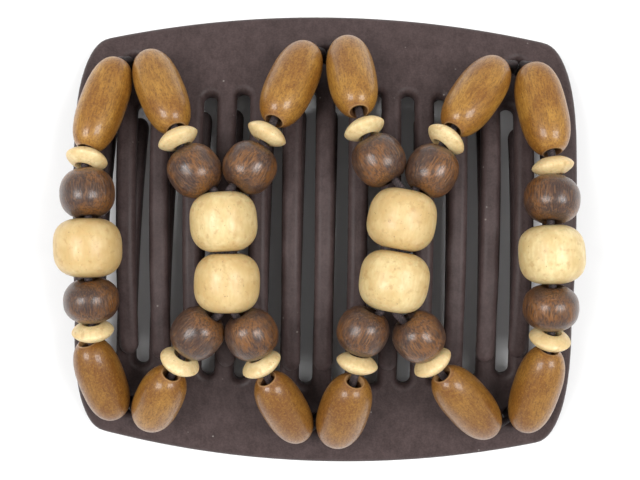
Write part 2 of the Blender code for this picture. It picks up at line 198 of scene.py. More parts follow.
SPINE_STEPS = 48
HALF_TURN_STEPS = 12
HOLE_SIDES = 32
ROUNDING_STEPS = 5
WELD_DISTANCE = 0.001 * MM
CUT_TOLERANCE = 0.002 * MM
FLAT_TOLERANCE = 0.01 * MM


def spine_edge(x):
    """Height of the spine's bowed outer edge above the flat comb's middle."""
    return COMB_LENGTH / 2 - x * x / (2 * SPINE_EDGE_RADIUS)


def comb_outline():
    """The flat comb's edge, anticlockwise from the foot of the right corner."""
    corner = []
    for step in range(CORNER_STEPS + 1):
        angle = math.radians(90 * step / CORNER_STEPS)
        x = COMB_HALF_WIDTH - CORNER_WIDTH * (1 - math.cos(angle) ** (2 / CORNER_POWER))
        drop = CORNER_HEIGHT * (1 - math.sin(angle) ** (2 / CORNER_POWER))
        corner.append((x, spine_edge(x) - drop))
    spine_x = corner[-1][0]
    spine = [spine_x * (1 - 2 * step / SPINE_STEPS) for step in range(1, SPINE_STEPS)]
    points = corner + [(x, spine_edge(x)) for x in spine] + [(-x, y) for x, y in reversed(corner)]
    half_turn_steps = range(HALF_TURN_STEPS + 1)
    half_turn = [math.radians(180 - 180 * step / HALF_TURN_STEPS) for step in half_turn_steps]
    half_slot = SLOT_WIDTH / 2
    tooth_left = -TIP_HALF_WIDTH
    for slot in range(SLOT_COUNT + 1):
        last = slot == SLOT_COUNT
        pitches = slot - (SLOT_COUNT - 1) / 2
        tooth_right = TIP_HALF_WIDTH if last else pitches * TIP_PITCH - half_slot
        middle = (tooth_left + tooth_right) / 2
        half = (tooth_right - tooth_left) / 2
        tip_y = middle * middle / (2 * TIP_LINE_RADIUS) - COMB_LENGTH / 2
        for angle in half_turn:
            points.append((middle + half * math.cos(angle), tip_y + TIP_LENGTH * (1 - math.sin(angle))))
        if last:
            break
        root_x = pitches * ROOT_PITCH
        root_y = COMB_LENGTH / 2 - SPINE_HEIGHT - root_x * root_x / (2 * SLOT_END_RADIUS) - half_slot
        for angle in half_turn:
            points.append((root_x + half_slot * math.cos(angle), root_y + half_slot * math.sin(angle)))
        tooth_left = pitches * TIP_PITCH + half_slot
    return points


def bend(point):
    """A point of the flat comb on the arch, whose axis runs through the origin."""
    middle_radius = ARCH_RADIUS - COMB_THICKNESS / 2
    angle = point.y / middle_radius
    radius = middle_radius + point.z
    return Vector((point.x, radius * math.sin(angle), radius * math.cos(angle)))


def arch_axis(lower):
    """Where the axis of a comb's arch lies, under the table."""
    height = -(ARCH_RADIUS - COMB_THICKNESS) * math.cos(LOWER_EDGE_ANGLE) - FOOT_DEPTH
    if lower:
        return PAIR_SHIFT + Vector((LOWER_COMB_X, CROWN_Y, height))
    return PAIR_SHIFT + Vector((UPPER_COMB_X, CROWN_Y, height + NEST_STEP))


def comb_turn(lower):
    """The turn that brings a bent comb's spine edge down to its angle on the arch."""
    half_span = COMB_LENGTH / 2 / (ARCH_RADIUS - COMB_THICKNESS / 2)
    if lower:
        return Euler((half_span - LOWER_EDGE_ANGLE, 0.0, math.pi + LOWER_SKEW)).to_matrix()
    return Euler((half_span - UPPER_EDGE_ANGLE, 0.0, UPPER_SKEW)).to_matrix()


def mesh_of(piece):
    """The piece's mesh as its curve or modifiers make it. The piece is removed."""
    bpy.context.view_layer.update()
    graph = bpy.context.evaluated_depsgraph_get()
    mesh = bpy.data.meshes.new_from_object(piece.evaluated_get(graph))
    bpy.data.objects.remove(piece, do_unlink=True)
    return mesh


def flat_comb():
    """The comb before it is bent: outline and holes with rounded edges, crossed by bending lines."""
    curve = bpy.data.curves.new("comb_sheet", "CURVE")
    curve.dimensions = "2D"
    curve.fill_mode = "BOTH"
    curve.extrude = COMB_THICKNESS / 2 - EDGE_ROUNDING
    curve.bevel_depth = EDGE_ROUNDING
    curve.bevel_resolution = ROUNDING_STEPS
    curve.offset = -EDGE_ROUNDING
    outlines = [comb_outline()]
    turns = [2 * math.pi * side / HOLE_SIDES for side in range(HOLE_SIDES)]
    for x, y in HOLE_PLACES:
        outlines.append([(x + HOLE_RADIUS * math.cos(a), y + HOLE_RADIUS * math.sin(a)) for a in turns])
    for outline in outlines:
        spline = curve.splines.new("POLY")
        spline.points.add(len(outline) - 1)
        for point, (x, y) in zip(spline.points, outline):
            point.co = (x, y, 0.0, 1.0)
        spline.use_cyclic_u = True
    mesh = mesh_of(add_object("comb_sheet", curve))
    shape = bmesh.new()
    shape.from_mesh(mesh)
    bmesh.ops.remove_doubles(shape, verts=shape.verts, dist=WELD_DISTANCE)
    bmesh.ops.recalc_face_normals(shape, faces=shape.faces)
    for step in range(1, round(COMB_LENGTH / BEND_STEP)):
        line = (0.0, BEND_STEP * step - COMB_LENGTH / 2, 0.0)
        geometry = shape.verts[:] + shape.edges[:] + shape.faces[:]
        bmesh.ops.bisect_plane(
            shape, geom=geometry, dist=CUT_TOLERANCE, plane_co=line, plane_no=(0, 1, 0)
        )
    bmesh.ops.triangulate(shape, faces=shape.faces)
    return shape


def make_comb(name, node, lower, sheet, material):
    """Thins the teeth towards their tips from above, bends the sheet and lays it in its place.

    The flat faces take the arch's own normals, so that they shade evenly.
    """
    turn = comb_turn(lower)
    shape = sheet.copy()
    face_normals = []
    for vert in shape.verts:
        flat = abs(abs(vert.co.z) - COMB_THICKNESS / 2) < FLAT_TOLERANCE
        side = math.copysign(1.0, vert.co.z)
        outward = turn @ (bend(vert.co + Vector((0, 0, side * MM))) - bend(vert.co)).normalized()
        face_normals.append(outward if flat else Vector((0.0, 0.0, 0.0)))
        from_tip = min(1.0, (vert.co.y + COMB_LENGTH / 2) / TAPER_LENGTH)
        share = (TIP_THICKNESS + (COMB_THICKNESS - TIP_THICKNESS) * from_tip) / COMB_THICKNESS
        vert.co.z = (vert.co.z + COMB_THICKNESS / 2) * share - COMB_THICKNESS / 2
        vert.co = turn @ bend(vert.co) + arch_axis(lower)
    mesh = bpy.data.meshes.new(name)
    shape.to_mesh(mesh)
    shape.free()
    mesh.shade_smooth()
    mesh.normals_split_custom_set_from_vertices(face_normals)
    mesh.materials.append(material)
    comb = add_object(name, mesh)
    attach(comb, "root")
    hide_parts(node)


def new_group(name, kind, inputs, outputs):
    """A node group with named sockets: its tree, its input node's outputs, its output node's inputs."""
    tree = bpy.data.node_groups.new(name, kind)
    for label, (socket_type, value) in inputs.items():
        socket = tree.interface.new_socket(label, in_out="INPUT", socket_type=socket_type)
        if value is not None:
            socket.default_value = value
    for label, socket_type in outputs.items():
        tree.interface.new_socket(label, in_out="OUTPUT", socket_type=socket_type)
    return tree, tree.nodes.new("NodeGroupInput").outputs, tree.nodes.new("NodeGroupOutput").inputs


def maths(tree, operation, first, second=0.0, third=0.0, clamp=False):
    inputs = {0: first, 1: second, 2: third}
    return add_step(tree, "ShaderNodeMath", inputs, operation=operation, use_clamp=clamp).outputs[0]


def blended(tree, share, first, second):
    """The first colour turning to the second as the share goes from 0 to 1."""
    first_socket, second_socket, result_socket = 6, 7, 2
    mix = add_step(tree, "ShaderNodeMix", {0: share}, data_type="RGBA")
    for index, colour in ((first_socket, first), (second_socket, second)):
        if isinstance(colour, bpy.types.NodeSocket):
            tree.links.new(colour, mix.inputs[index])
        else:
            mix.inputs[index].default_value = (*colour, 1.0)
    return mix.outputs[result_socket]


def tinted(tree, colour, layers):
    """Lays tones over a colour one after another, each by its mask times its strength."""
    for mask, strength, tone in layers:
        colour = blended(tree, maths(tree, "MULTIPLY", mask, strength), colour, tone)
    return colour


# Soft blotches of tone. They turn to dashes along the axis that has the largest stretch.
mottle_tree, given, taken = new_group(
    "mottled_tone",
    "ShaderNodeTree",
    {
        "Place": ("NodeSocketVector", None),
        "Stretch": ("NodeSocketVector", (1.0, 1.0, 1.0)),
        "Blotches per mm": ("NodeSocketFloat", 1.0),
        "Low": ("NodeSocketFloat", 0.35),
        "High": ("NodeSocketFloat", 0.65),
    },
    {"Tone": "NodeSocketFloat"},
)
stretched = add_step(
    mottle_tree,
    "ShaderNodeVectorMath",
    {0: given["Place"], 1: given["Stretch"]},
    operation="DIVIDE",
)
per_metre = maths(mottle_tree, "MULTIPLY", given["Blotches per mm"], 1 / MM)
clouds = add_step(
    mottle_tree,
    "ShaderNodeTexNoise",
    {"Vector": stretched.outputs[0], "Scale": per_metre, "Detail": 3.0, "Roughness": 0.55},
)
toned = add_step(
    mottle_tree,
    "ShaderNodeMapRange",
    {"Value": clouds.outputs[0], "From Min": given["Low"], "From Max": given["High"]},
    interpolation_type="SMOOTHSTEP",
)
mottle_tree.links.new(toned.outputs[0], taken["Tone"])


def mottled(tree, place, per_mm, low=0.35, high=0.65, stretch=(1.0, 1.0, 1.0)):
    inputs = {"Place": place, "Stretch": stretch, "Blotches per mm": per_mm, "Low": low, "High": high}
    return add_step(tree, "ShaderNodeGroup", inputs, node_tree=mottle_tree).outputs["Tone"]


# Plastic with faint clouds, moulding streaks along the teeth, fine grain and a few specks of dust.
plastic, plastic_tree = new_material("moulded_brown_plastic")
plastic_place = add_step(plastic_tree, "ShaderNodeTexCoord").outputs["Object"]
plastic_clouds = mottled(plastic_tree, plastic_place, 0.45)
plastic_grain = mottled(plastic_tree, plastic_place, 2.6, 0.40, 0.62)
plastic_streaks = mottled(plastic_tree, plastic_place, 1.3, 0.3, 0.7, (1.0, 24.0, 1.0))
plastic_tone = maths(plastic_tree, "MULTIPLY", plastic_grain, 0.35)
plastic_tone = maths(plastic_tree, "MULTIPLY_ADD", plastic_clouds, 0.35, plastic_tone)
plastic_tone = maths(plastic_tree, "MULTIPLY_ADD", plastic_streaks, 0.3, plastic_tone)
plastic_colour = blended(plastic_tree, plastic_tone, (0.040, 0.026, 0.025), (0.074, 0.050, 0.049))
dust_cells = add_step(plastic_tree, "ShaderNodeTexVoronoi", {"Vector": plastic_place, "Scale": 420.0})
dust_near = add_step(
    plastic_tree,
    "ShaderNodeMapRange",
    {"Value": dust_cells.outputs["Distance"], "From Min": 0.10, "From Max": 0.03},
)
dust_pick = add_step(plastic_tree, "ShaderNodeSeparateColor", {"Color": dust_cells.outputs["Color"]})
dust_here = maths(plastic_tree, "GREATER_THAN", dust_pick.outputs[0], 0.78)
dust = maths(plastic_tree, "MULTIPLY", dust_near.outputs[0], dust_here)
finish_material(
    plastic_tree,
    {
        "Base Color": tinted(plastic_tree, plastic_colour, [(dust, 0.5, (0.40, 0.37, 0.34))]),
        "Roughness": maths(plastic_tree, "MULTIPLY_ADD", plastic_tone, 0.16, 0.42),
        "Specular IOR Level": 0.24,
        "Normal": bumped(plastic_tree, plastic_grain, 0.4, 0.03 * MM),
    },
)

comb_sheet = flat_comb()
make_comb("moulded_comb_upper", "comb_upper", False, comb_sheet, plastic)
make_comb("moulded_comb_lower", "comb_lower", True, comb_sheet, plastic)
comb_sheet.free()

# Beads of all kinds
# Each bead was turned on a lathe and drilled along its axis, so one tree of Geometry Nodes turns
# them all: a barrel with rounded ends, a drilled bore with a softened mouth, and a little
# unevenness by hand. A grid is rolled up, its first rings for the outside and the rest for the bore.
BEAD_RINGS = 57
BEAD_SIDES = 48
OUTER_SHARE = 0.84
RING_MARGIN = 0.001
MOUTH_DEPTH = 0.45 * MM
MOUTH_BAND = 0.8 * MM
LUMP_ONSET = 4.0
SEED_SHIFT = (0.031, 0.047, 0.083)
OWN_TONE_RANGE = 0.36
SEAM_DISTANCE = 0.002 * MM

turned_tree, given, taken = new_group(
    "turned_bead",
    "GeometryNodeTree",
    {
        "Blank": ("NodeSocketGeometry", None),
        "Girth": ("NodeSocketFloat", 0.01),
        "Length": ("NodeSocketFloat", 0.01),
        "Bore": ("NodeSocketFloat", 0.003),
        "Lip": ("NodeSocketFloat", 0.00035),
        "Squareness": ("NodeSocketFloat", 2.5),
        "Unevenness": ("NodeSocketFloat", 0.02),
        "Lump size": ("NodeSocketFloat", 0.008),
        "Seed": ("NodeSocketFloat", 0.0),
        "Darkness": ("NodeSocketFloat", 0.5),
        "Middle": ("NodeSocketVector", None),
        "Axis": ("NodeSocketVector", (0.0, 0.0, 1.0)),
        "Finish": ("NodeSocketMaterial", None),
    },
    {"Bead": "NodeSocketGeometry"},
)


def scaled(tree, vector, scale):
    inputs = {0: vector, "Scale": scale}
    return add_step(tree, "ShaderNodeVectorMath", inputs, operation="SCALE").outputs[0]


def turn_maths(operation, first, second=0.0, third=0.0, clamp=False):
    return maths(turned_tree, operation, first, second, third, clamp)


def either(choice, no, yes):
    inputs = {"Switch": choice, "False": no, "True": yes}
    return add_step(turned_tree, "GeometryNodeSwitch", inputs, input_type="FLOAT").outputs[0]


def stored(tree, geometry, label, value, data_type="FLOAT"):
    """The geometry with a value kept on its points under a name, for the material to read."""
    inputs = {"Geometry": geometry, "Name": label, "Value": value}
    kept = add_step(tree, "GeometryNodeStoreNamedAttribute", inputs, data_type=data_type, domain="POINT")
    return kept.outputs[0]


blank = add_step(
    turned_tree,
    "GeometryNodeMeshGrid",
    {"Size X": 1.0, "Size Y": 1.0, "Vertices X": BEAD_RINGS, "Vertices Y": BEAD_SIDES + 1},
)
grid_place = turned_tree.nodes.new("GeometryNodeInputPosition").outputs[0]
blank_place = add_step(turned_tree, "ShaderNodeSeparateXYZ", {0: grid_place})
way = turn_maths("ADD", blank_place.outputs["X"], 0.5)
turn_angle = turn_maths("MULTIPLY", turn_maths("ADD", blank_place.outputs["Y"], 0.5), 2 * math.pi)
radius = turn_maths("MULTIPLY", given["Girth"], 0.5)
half_length = turn_maths("MULTIPLY", given["Length"], 0.5)
bore_radius = turn_maths("MULTIPLY", given["Bore"], 0.5)
rim_radius = turn_maths("ADD", bore_radius, given["Lip"])

roundness = turn_maths("DIVIDE", 2.0, given["Squareness"])
rim_share = turn_maths("DIVIDE", rim_radius, radius)
steepest = turn_maths("ARCCOSINE", turn_maths("POWER", rim_share, turn_maths("DIVIDE", 1.0, roundness)))
outer_way = turn_maths("DIVIDE", way, OUTER_SHARE, clamp=True)
slope = turn_maths("MULTIPLY", steepest, turn_maths("MULTIPLY_ADD", outer_way, -2.0, 1.0))
slope_cosine = turn_maths("COSINE", slope)
outer_across = turn_maths("MULTIPLY", radius, turn_maths("POWER", slope_cosine, roundness))
slope_sine = turn_maths("SINE", slope)
rise = turn_maths("POWER", turn_maths("ABSOLUTE", slope_sine), roundness)
mouth_rise = turn_maths("POWER", turn_maths("SINE", steepest), roundness)
outer_height = turn_maths("DIVIDE", turn_maths("MULTIPLY", half_length, rise), mouth_rise)
outer_along = turn_maths("MULTIPLY", outer_height, turn_maths("SIGN", slope_sine))

past_outside = turn_maths("SUBTRACT", way, OUTER_SHARE)
bore_way = turn_maths("DIVIDE", past_outside, 1.0 - OUTER_SHARE, clamp=True)
bore_side = turn_maths("MULTIPLY_ADD", bore_way, 2.0, -1.0)
bore_along = turn_maths("MULTIPLY", half_length, bore_side)
throat = turn_maths("SUBTRACT", half_length, MOUTH_DEPTH)
above_throat = turn_maths("SUBTRACT", turn_maths("ABSOLUTE", bore_along), throat)
flare = turn_maths("POWER", turn_maths("DIVIDE", above_throat, MOUTH_DEPTH, clamp=True), 2.0)
bore_across = turn_maths("MULTIPLY_ADD", given["Lip"], flare, bore_radius)
in_bore = turn_maths("GREATER_THAN", way, OUTER_SHARE + RING_MARGIN)
across = either(in_bore, outer_across, bore_across)
along = either(in_bore, outer_along, bore_along)
round_place = add_step(
    turned_tree,
    "ShaderNodeCombineXYZ",
    {
        "X": turn_maths("MULTIPLY", across, turn_maths("COSINE", turn_angle)),
        "Y": turn_maths("MULTIPLY", across, turn_maths("SINE", turn_angle)),
        "Z": along,
    },
).outputs[0]

lump_place = scaled(turned_tree, round_place, turn_maths("DIVIDE", 1.0, given["Lump size"]))
lumps = add_step(
    turned_tree,
    "ShaderNodeTexNoise",
    {"Vector": lump_place, "W": given["Seed"], "Scale": 1.0, "Detail": 0.0},
    noise_dimensions="4D",
)
from_rim = turn_maths("DIVIDE", turn_maths("SUBTRACT", across, rim_radius), radius, clamp=True)
lumpiness = turn_maths(
    "MULTIPLY",
    turn_maths("MULTIPLY", turn_maths("SUBTRACT", lumps.outputs[0], 0.5), given["Unevenness"]),
    turn_maths("MULTIPLY", from_rim, LUMP_ONSET),
)
lumpy_place = scaled(turned_tree, round_place, turn_maths("ADD", lumpiness, 1.0))
pattern_place = add_step(
    turned_tree,
    "ShaderNodeVectorMath",
    {0: lumpy_place, 1: scaled(turned_tree, SEED_SHIFT, given["Seed"])},
    operation="ADD",
)
past_rim = turn_maths("SUBTRACT", outer_across, rim_radius)
from_mouth = turn_maths("DIVIDE", past_rim, MOUTH_BAND, clamp=True)
mouth_mask = either(in_bore, turn_maths("SUBTRACT", 1.0, from_mouth), 1.0)
seed_tone = add_step(turned_tree, "ShaderNodeTexWhiteNoise", {"W": given["Seed"]}, noise_dimensions="1D")
seed_lean = turn_maths("SUBTRACT", seed_tone.outputs["Value"], 0.5)
own_tone = turn_maths("MULTIPLY", seed_lean, OWN_TONE_RANGE)
bead_tone = turn_maths("ADD", given["Darkness"], own_tone, clamp=True)
blank_mesh = blank.outputs["Mesh"]
marked = stored(turned_tree, blank_mesh, "bead_place", pattern_place.outputs[0], "FLOAT_VECTOR")
marked = stored(turned_tree, marked, "bead_mouth", mouth_mask)
marked = stored(turned_tree, marked, "bead_tone", bead_tone)
shaped = add_step(turned_tree, "GeometryNodeSetPosition", {"Geometry": marked, "Position": lumpy_place})
closed = add_step(
    turned_tree,
    "GeometryNodeMergeByDistance",
    {"Geometry": shaped.outputs[0], "Distance": SEAM_DISTANCE},
)
faced = add_step(turned_tree, "GeometryNodeFlipFaces", {"Mesh": closed.outputs[0]})
smooth = add_step(
    turned_tree,
    "GeometryNodeSetShadeSmooth",
    {"Geometry": faced.outputs[0], "Shade Smooth": True},
)
aligned = add_step(turned_tree, "FunctionNodeAlignRotationToVector", {"Vector": given["Axis"]}, axis="Z")
strung = add_step(
    turned_tree,
    "GeometryNodeTransform",
    {"Geometry": smooth.outputs[0], "Translation": given["Middle"], "Rotation": aligned.outputs[0]},
)
realized = add_step(turned_tree, "GeometryNodeRealizeInstances", {"Geometry": strung.outputs[0]})
finished = add_step(
    turned_tree,
    "GeometryNodeSetMaterial",
    {"Geometry": realized.outputs[0], "Material": given["Finish"]},
)
turned_tree.links.new(finished.outputs[0], taken["Bead"])


class BeadFrame:
    """Where a bead lies and how large it is, measured on its solid.

    A bead is as wide as it is thick, so its axis is the direction whose spread differs from the
    other two. It points down the picture.
    """

    def __init__(self, node):
        corners = {tuple(round(c, 7) for c in vert.co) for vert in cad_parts[node].data.vertices}
        points = np.array(sorted(corners))
        middle = points.mean(axis=0)
        spread, directions = np.linalg.eigh(np.cov((points - middle).T))
        odd_one = 0 if spread[2] - spread[1] < spread[1] - spread[0] else 2
        axis = directions[:, odd_one]
        if axis[1] > 0:
            axis = -axis
        heights = (points - middle) @ axis
        middle = middle + axis * (heights.max() + heights.min()) / 2
        arms = (points - middle) - np.outer((points - middle) @ axis, axis)
        self.middle = Vector(middle)
        self.axis = Vector(axis)
        self.length = float(heights.max() - heights.min())
        self.girth = 2 * float(np.linalg.norm(arms, axis=1).max())


def modifier_input(modifier, name, value):
    for item in modifier.node_group.interface.items_tree:
        if item.item_type == "SOCKET" and item.in_out == "INPUT" and item.name == name:
            modifier[item.identifier] = value


def make_bead(
    node, seed, finish, bore, lip, squareness, unevenness, lump_size,
    swelling=1.0, stretch=1.0, darkness=0.5,
):
    """The finished bead in the place of its solid, with the same middle and axis."""
    solid = BeadFrame(node)
    name = f"turned_{node}"
    bead = add_object(name, bpy.data.meshes.new(name))
    turning = bead.modifiers.new("turned", "NODES")
    turning.node_group = turned_tree
    inputs = {
        "Girth": solid.girth * swelling,
        "Length": solid.length * stretch,
        "Bore": bore,
        "Lip": lip,
        "Squareness": squareness,
        "Unevenness": unevenness,
        "Lump size": lump_size,
        "Seed": float(seed),
        "Darkness": darkness,
        "Middle": solid.middle,
        "Axis": solid.axis,
        "Finish": finish,
    }
    for label, value in inputs.items():
        modifier_input(turning, label, value)
    mesh = mesh_of(bead)
    mesh.name = name
    bead = add_object(name, mesh)
    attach(bead, "root")
    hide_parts(node)


# Oval beads
# Twelve ovals of light wood, stained honey amber and dipped in clear lacquer that pools at the
# mouths of their wide bores, where a ring of paler wood shows. Towards each mouth the wood is
# darker, partly under the pooled lacquer and partly as painted shade, and the bores are painted
# almost black as shade. Light flecks of figure carry painted golden glints. Their outer ends stand
# over the spines' holes. The ones on the lower comb are darker.
HALVES = [f"{number}_{half}" for number in range(1, 7) for half in ("upper", "lower")]
OVAL_SEED = 1
BORE_SHADE_MASK = 0.995
RAW_RING_MASK = 0.68


def attribute(tree, name, output="Fac"):
    return add_step(tree, "ShaderNodeAttribute", attribute_name=name).outputs[output]


amber, amber_tree = new_material("lacquered_amber_wood")
amber_place = attribute(amber_tree, "bead_place", "Vector")
amber_mouth = attribute(amber_tree, "bead_mouth")
amber_clouds = mottled(amber_tree, amber_place, 0.22, 0.38, 0.62, (1.0, 1.0, 2.0))
amber_grain = mottled(amber_tree, amber_place, 2.6, 0.42, 0.60, (1.0, 1.0, 7.0))
amber_flame = mottled(amber_tree, amber_place, 1.0, 0.44, 0.60, (1.0, 1.0, 3.0))
amber_figure_and_glints = mottled(amber_tree, amber_place, 2.9, 0.49, 0.61, (1.3, 1.3, 1.0))
amber_pores = mottled(amber_tree, amber_place, 4.4, 0.53, 0.61, (1.0, 1.0, 2.6))
amber_bore_shade = maths(amber_tree, "GREATER_THAN", amber_mouth, BORE_SHADE_MASK)
amber_rim = maths(amber_tree, "GREATER_THAN", amber_mouth, RAW_RING_MASK)
amber_layers = (
    (attribute(amber_tree, "bead_tone"), 0.68, (0.120, 0.040, 0.0070)),
    (amber_grain, 0.38, (0.125, 0.041, 0.006)),
    (amber_flame, 0.22, (0.140, 0.048, 0.006)),
    # Light flecks of figure in the wood, partly painted golden glints.
    (amber_figure_and_glints, 0.17, (0.52, 0.28, 0.055)),
    (amber_pores, 0.42, (0.080, 0.026, 0.005)),
    # Darker towards the mouth: partly the pooled lacquer, partly painted shade.
    (amber_mouth, 0.45, (0.18, 0.066, 0.026)),
    (maths(amber_tree, "SUBTRACT", amber_rim, amber_bore_shade), 0.40, (0.46, 0.29, 0.14)),
    # The bore painted almost black: painted shade.
    (amber_bore_shade, 0.75, (0.050, 0.022, 0.012)),
)
amber_colour = blended(amber_tree, amber_clouds, (0.272, 0.115, 0.0145), (0.415, 0.211, 0.0365))
amber_height = maths(amber_tree, "MULTIPLY", amber_grain, -0.25)
amber_height = maths(amber_tree, "MULTIPLY_ADD", amber_pores, -0.4, amber_height)
finish_material(
    amber_tree,
    {
        "Base Color": tinted(amber_tree, amber_colour, amber_layers),
        "Roughness": maths(amber_tree, "MULTIPLY_ADD", amber_pores, 0.12, 0.40),
        "Specular IOR Level": 0.4,
        "Coat Weight": maths(amber_tree, "MULTIPLY_ADD", amber_mouth, 0.75, 0.25),
        "Coat Roughness": 0.10,
        "Coat IOR": 1.5,
        "Normal": bumped(amber_tree, amber_height, 0.35, 0.04 * MM),
    },
)

for index, half in enumerate(HALVES):
    make_bead(
        f"oval_{half}", index + OVAL_SEED, amber,
        bore=2.8 * MM, lip=0.25 * MM, squareness=2.55, unevenness=0.02, lump_size=9 * MM,
        swelling=1.005, stretch=0.975, darkness=0.75 if "lower" in half else 0.25,
    )

# Bone discs
# Small spacers of bleached bone, thick in the middle and thin at the rim, with a faint ridge round
# them. They sit between the ovals and the dark beads and take up the bend of the string.
DISC_SEED = 21


def make_bone(name, low_tone, high_tone):
    """Bleached bone: cloudy cream, with fine grain, soft tan flecks and a few brown pits."""
    bone, bone_tree = new_material(name)
    bone_place = attribute(bone_tree, "bead_place", "Vector")
    grain = mottled(bone_tree, bone_place, 1.6, 0.3, 0.7, (1.0, 1.0, 3.0))
    pits = mottled(bone_tree, bone_place, 2.3, 0.66, 0.72)
    layers = (
        (grain, 0.34, (0.50, 0.32, 0.12)),
        (attribute(bone_tree, "bead_tone"), 0.60, (0.476, 0.282, 0.093)),
        (mottled(bone_tree, bone_place, 0.9, 0.56, 0.70, (1.0, 2.2, 1.0)), 0.38, (0.38, 0.21, 0.07)),
        (pits, 0.55, (0.22, 0.12, 0.05)),
        # Tan in the bore and round its mouth: painted shade.
        (attribute(bone_tree, "bead_mouth"), 0.35, (0.40, 0.25, 0.11)),
    )
    clouds = mottled(bone_tree, bone_place, 0.28, 0.36, 0.64)
    height = maths(bone_tree, "MULTIPLY_ADD", pits, -0.8, maths(bone_tree, "MULTIPLY", grain, 0.3))
    finish_material(
        bone_tree,
        {
            "Base Color": tinted(bone_tree, blended(bone_tree, clouds, low_tone, high_tone), layers),
            "Roughness": maths(bone_tree, "MULTIPLY_ADD", grain, 0.12, 0.36),
            "Subsurface Weight": 0.12,
            "Subsurface Scale": 0.001,
            "Normal": bumped(bone_tree, height, 0.3, 0.04 * MM),
        },
    )
    return bone


disc_bone = make_bone("bleached_disc_bone", (0.68, 0.52, 0.26), (0.80, 0.65, 0.36))
for index, half in enumerate(HALVES):
    make_bead(
        f"disc_{half}", index + DISC_SEED, disc_bone,
        bore=3.0 * MM, lip=0.3 * MM, squareness=1.62, unevenness=0.03, lump_size=5 * MM,
        swelling=1.05, stretch=1.10, darkness=0.2,
    )

# Dark round beads
# Twelve short round beads of dark palm wood under a thin varnish: purple-brown with orange-brown
# patches, and full of short pale and dark fibres that run along the bore and break up the shine.
# The first bead on the upper comb is longer than the others.
DARK_SEED = 41

dark, dark_tree = new_material("varnished_dark_wood")
dark_place = attribute(dark_tree, "bead_place", "Vector")
dark_patches = mottled(dark_tree, dark_place, 0.20, 0.42, 0.60, (1.0, 1.0, 1.4))
dark_pale_fibres = mottled(dark_tree, dark_place, 3.4, 0.48, 0.62, (1.0, 1.0, 6.0))
dark_black_fibres = mottled(dark_tree, dark_place, 3.8, 0.48, 0.60, (1.0, 1.0, 5.0))
dark_layers = (
    (dark_pale_fibres, 0.50, (0.21, 0.095, 0.030)),
    (dark_black_fibres, 0.70, (0.020, 0.008, 0.005)),
    # Almost black in the bore and round its mouth: painted shade.
    (attribute(dark_tree, "bead_mouth"), 0.50, (0.020, 0.011, 0.009)),
)
dark_colour = blended(dark_tree, dark_patches, (0.060, 0.0235, 0.0115), (0.175, 0.063, 0.008))
dark_height = maths(dark_tree, "SUBTRACT", dark_pale_fibres, dark_black_fibres)
finish_material(
    dark_tree,
    {
        "Base Color": tinted(dark_tree, dark_colour, dark_layers),
        "Roughness": maths(dark_tree, "MULTIPLY_ADD", dark_pale_fibres, 0.12, 0.40),
        "Coat Weight": 0.6,
        "Coat Roughness": 0.28,
        "Normal": bumped(dark_tree, dark_height, 0.8, 0.10 * MM),
    },
)

for index, half in enumerate(HALVES):
    make_bead(
        f"dark_{half}", index + DARK_SEED, dark,
        bore=3.0 * MM, lip=0.4 * MM, squareness=2.3, unevenness=0.025, lump_size=6 * MM,
        swelling=1.045, stretch=1.09 if half == "1_upper" else 1.03,
    )

# Cream bone beads
# Six large barrels of bleached bone, polished to a satin, some paler than others. The four in the
# middle are drilled wider, because two strings pass through each of them.
CREAM_SEED = 61
CREAMS = ("left", "left_pair_upper", "left_pair_lower", "right_pair_upper", "right_pair_lower", "right")
PALEST_CREAMS = ("left_pair_upper", "right_pair_lower", "right")

cream_bone = make_bone("polished_cream_bone", (0.611, 0.462, 0.217), (0.732, 0.601, 0.319))
for index, cream in enumerate(CREAMS):
    make_bead(
        f"cream_{cream}", index + CREAM_SEED, cream_bone,
        bore=(4.2 if "pair" in cream else 2.8) * MM, lip=0.35 * MM, squareness=2.75,
        unevenness=0.035, lump_size=8 * MM, darkness=0.2 if cream in PALEST_CREAMS else 0.8,
    )

# Elastic
# Three loops of round elastic: a rubber core in a braided sleeve of dark purple-brown thread. Each
# goes through a hole in both spines as two strands that are tied in a knot, with short tails, under
# the hole.
CORD_RADIUS = 0.70 * MM
CORD_SIDES = 16
TURN_STEPS = 8
CROSSINGS_PER_PITCH = 8
BRAID_MIDDLE = 0.8
STRAND_OFFSET = 0.76 * MM
STRAND_SPREAD = 1.25 * MM
HOOK_REACH = 0.5 * MM
MOUTH_REACH = 0.1 * MM
TUCK = 0.15 * MM
MOUTH_CLEARANCE = 0.15 * MM
KNOT_DROP = 1.5 * MM
KNOT_SIZE = 0.5 * MM
KNOT_STEPS = 60
TAIL_RUN = 1.4 * MM
TAIL_REACH = 2.6 * MM
TAIL_BEND = 1.2 * MM
LEFT_PAIR = ("left_pair_upper", "left_pair_lower")
RIGHT_PAIR = ("right_pair_upper", "right_pair_lower")
STRING_CREAMS = (
    (("left",), 0),
    (LEFT_PAIR, -1),
    (LEFT_PAIR, 1),
    (RIGHT_PAIR, -1),
    (RIGHT_PAIR, 1),
    (("right",), 0),
)

cord_tree, given, taken = new_group(
    "braided_cord",
    "GeometryNodeTree",
    {
        "Route": ("NodeSocketGeometry", None),
        "Radius": ("NodeSocketFloat", CORD_RADIUS),
        "Corner": ("NodeSocketFloat", 0.0009),
        "Ring spacing": ("NodeSocketFloat", 0.00015),
        "Threads": ("NodeSocketFloat", 6.0),
        "Braid pitch": ("NodeSocketFloat", 0.0034),
        "Relief": ("NodeSocketFloat", 0.00008),
        "Finish": ("NodeSocketMaterial", None),
    },
    {"Cord": "NodeSocketGeometry"},
)


def cord_maths(operation, first, second=0.0):
    return maths(cord_tree, operation, first, second)


def cord_value(name):
    kept = add_step(cord_tree, "GeometryNodeInputNamedAttribute", {"Name": name}, data_type="FLOAT")
    return kept.outputs[0]


